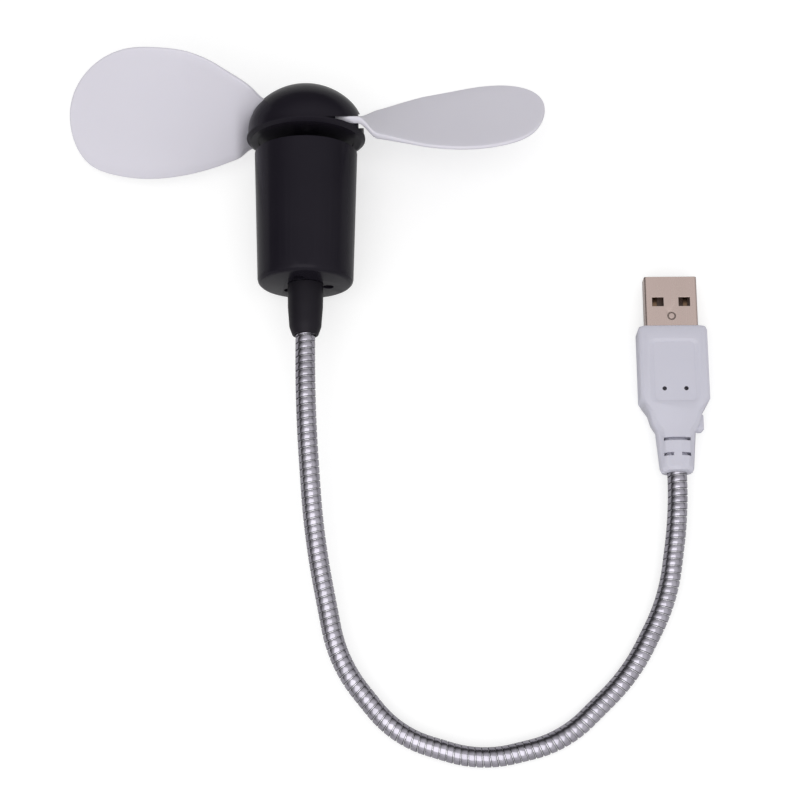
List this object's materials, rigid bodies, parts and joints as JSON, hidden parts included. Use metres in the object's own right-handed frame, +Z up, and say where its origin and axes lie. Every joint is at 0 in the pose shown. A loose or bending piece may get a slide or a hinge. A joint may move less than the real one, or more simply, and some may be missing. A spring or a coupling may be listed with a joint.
{
  "type": "usb gooseneck fan",
  "caption": "Small USB fan: a two-blade propeller on a black motor head, carried by a bendable wound metal gooseneck with a USB-A plug.",
  "frame": {"origin": "centre of the flat underside of the plug's grip, which lies on the table", "axes": "+Z up from the table, +Y along the plug towards its metal tip, +X to the plug's right"},
  "size_m": [0.1459, 0.1602, 0.0288],
  "materials": {
    "nickel_steel": "satin nickel",
    "black_gloss_plastic": "gloss",
    "black_rubber": "satin",
    "white_pvc": "satin",
    "white_soft_blade": "matte",
    "black_insulator": "matte",
    "gold_contact": "gold plated",
    "brass": "bright",
    "motor_steel": "bright zinc",
    "ferrite": "matt sintered",
    "bush_bronze": "sintered",
    "coil_copper": "enamelled",
    "lead_insulation": "satin"
  },
  "bodies": {
    "plug": {"usb_shell": "nickel_steel", "usb_tongue": "black_insulator", "usb_contacts": "gold_contact", "plug_overmold": "white_pvc", "neck_tube_1": "nickel_steel", "supply_leads_1": "lead_insulation"},
    "neck_length_2": {"neck_turns_1": "nickel_steel", "neck_tube_2": "nickel_steel", "supply_leads_2": "lead_insulation"},
    "neck_length_3": {"neck_turns_2": "nickel_steel", "neck_tube_3": "nickel_steel", "supply_leads_3": "lead_insulation"},
    "neck_length_4": {"neck_turns_3": "nickel_steel", "neck_tube_4": "nickel_steel", "supply_leads_4": "lead_insulation"},
    "neck_length_5": {"neck_turns_4": "nickel_steel", "neck_tube_5": "nickel_steel", "supply_leads_5": "lead_insulation"},
    "neck_length_6": {"neck_turns_5": "nickel_steel", "neck_tube_6": "nickel_steel", "supply_leads_6": "lead_insulation"},
    "head": {"neck_turns_6": "nickel_steel", "neck_tube_7": "nickel_steel", "supply_leads_7": "lead_insulation", "neck_sleeve": "black_rubber", "neck_clip": "motor_steel", "motor_housing": "black_gloss_plastic", "front_cover": "black_gloss_plastic", "motor_can": "motor_steel", "motor_magnets": "ferrite", "motor_end_cap": "black_insulator", "motor_brushes": "brass", "motor_terminals": "brass", "terminal_leads": "lead_insulation", "front_bush": "bush_bronze", "rear_bush": "bush_bronze"},
    "rotor": {"motor_shaft": "motor_steel", "armature_core": "motor_steel", "armature_windings": "coil_copper", "commutator": "brass", "hub_base": "black_gloss_plastic", "hub_cap": "black_gloss_plastic", "blade_right": "white_soft_blade", "blade_left": "white_soft_blade"}
  },
  "joints": [
    {"name": "neck_lift_1", "type": "hinge", "parent": "plug", "child": "neck_length_2", "pos_m": [-0.00153, -0.04414, 0.00334], "axis": [-0.9883, 0.1523, 0], "range_deg": [-35, 40], "deforming": ["neck_turns_1"]},
    {"name": "neck_bend_1", "type": "hinge", "parent": "neck_length_2", "child": "neck_length_3", "pos_m": [-0.01944, -0.07764, 0.00242], "axis": [-0.0017, -0.0016, 1], "range_deg": [-6, 40], "deforming": ["neck_turns_2"]},
    {"name": "neck_lift_2", "type": "hinge", "parent": "neck_length_3", "child": "neck_length_4", "pos_m": [-0.05406, -0.08634, 0.00272], "axis": [0.2913, 0.9566, 0], "range_deg": [-35, 40], "deforming": ["neck_turns_3"]},
    {"name": "neck_bend_2", "type": "hinge", "parent": "neck_length_4", "child": "neck_length_5", "pos_m": [-0.06962, -0.07581, 0.00408], "axis": [0.0681, -0.0842, 0.9941], "range_deg": [-6, 40], "deforming": ["neck_turns_4"]},
    {"name": "neck_lift_3", "type": "hinge", "parent": "neck_length_5", "child": "neck_length_6", "pos_m": [-0.07843, -0.05565, 0.00699], "axis": [0.9822, 0.1878, 0], "range_deg": [-35, 40], "deforming": ["neck_turns_5"]},
    {"name": "neck_bend_3", "type": "hinge", "parent": "neck_length_6", "child": "head", "pos_m": [-0.08223, -0.02625, 0.01135], "axis": [0.0095, -0.1474, 0.989], "range_deg": [-6, 40], "deforming": ["neck_turns_6"]},
    {"name": "rotor_spin", "type": "hinge", "parent": "head", "child": "rotor", "pos_m": [-0.0832, 0.0482, 0.0136], "axis": [0, 1, 0], "continuous": true}
  ]
}
